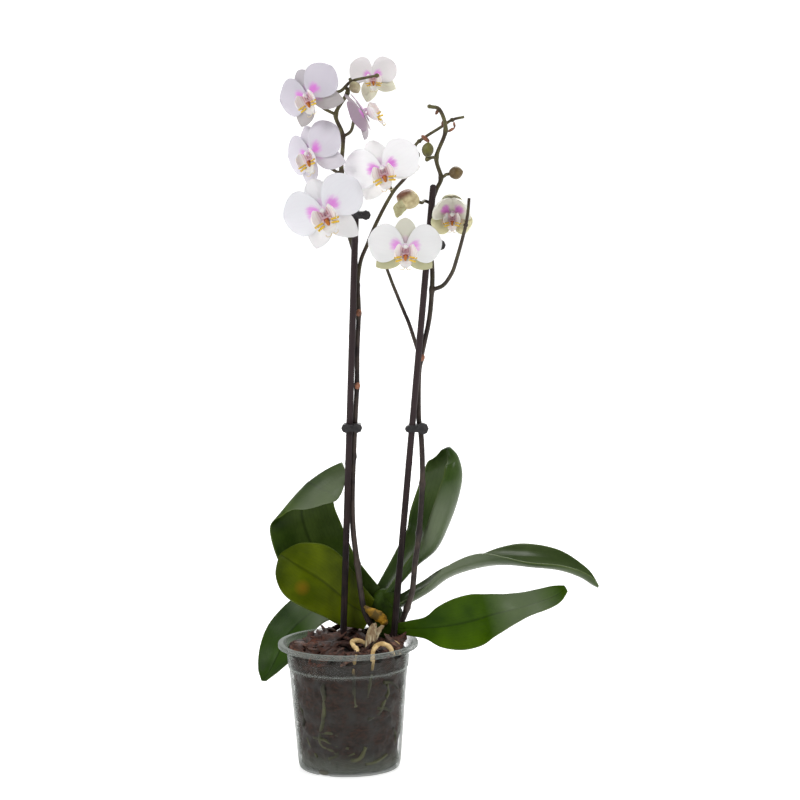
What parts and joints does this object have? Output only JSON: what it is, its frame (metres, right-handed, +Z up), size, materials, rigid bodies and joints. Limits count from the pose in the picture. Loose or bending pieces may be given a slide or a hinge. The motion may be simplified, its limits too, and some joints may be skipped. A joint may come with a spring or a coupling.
{
  "type": "potted moth orchid",
  "caption": "Moth orchid with flower spikes tied to stakes, broad strap leaves and open blooms, rooted in bark in a round tapered grow pot.",
  "frame": {"origin": "centre of the pot's flat underside, where it rests on a surface", "axes": "+Z up along the pot's axis, +X to the right and +Y away from the side that the flowers face"},
  "size_m": [0.2948, 0.1483, 0.6076],
  "materials": {
    "pot": "satin",
    "bark": "matte",
    "crown": "satin",
    "root": "matte",
    "leaf": "gloss",
    "old_leaf": "satin",
    "sheath": "matte",
    "stake": "satin",
    "spike": "satin",
    "clip": "satin",
    "petal": "satin",
    "lip": "satin",
    "bud": "satin"
  },
  "bodies": {
    "root": {"pot": "pot", "bark": "bark", "crown": "crown", "roots": "root", "leaf_1": "leaf", "leaf_2": "leaf", "leaf_3": "leaf", "leaf_4": "leaf", "leaf_5": "leaf", "leaf_6": "leaf", "old_leaf": "old_leaf", "dry_sheath": "sheath", "stake_left": "stake", "stake_right": "stake", "spike_left": "spike", "spike_right": "spike", "clip_left_low": "clip", "clip_right_low": "clip", "clip_left_high": "clip", "clip_right_high": "clip", "bloom_1": "petal", "bloom_2": "petal", "bloom_3": "petal", "bloom_4": "petal", "bloom_5": "petal", "bloom_6": "petal", "bloom_7": "petal", "bloom_8": "petal", "lip_1": "lip", "lip_2": "lip", "lip_3": "lip", "lip_4": "lip", "lip_5": "lip", "lip_6": "lip", "lip_7": "lip", "lip_8": "lip", "bud_1": "bud", "bud_2": "bud", "bud_3": "bud", "bud_4": "bud"}
  },
  "joints": []
}
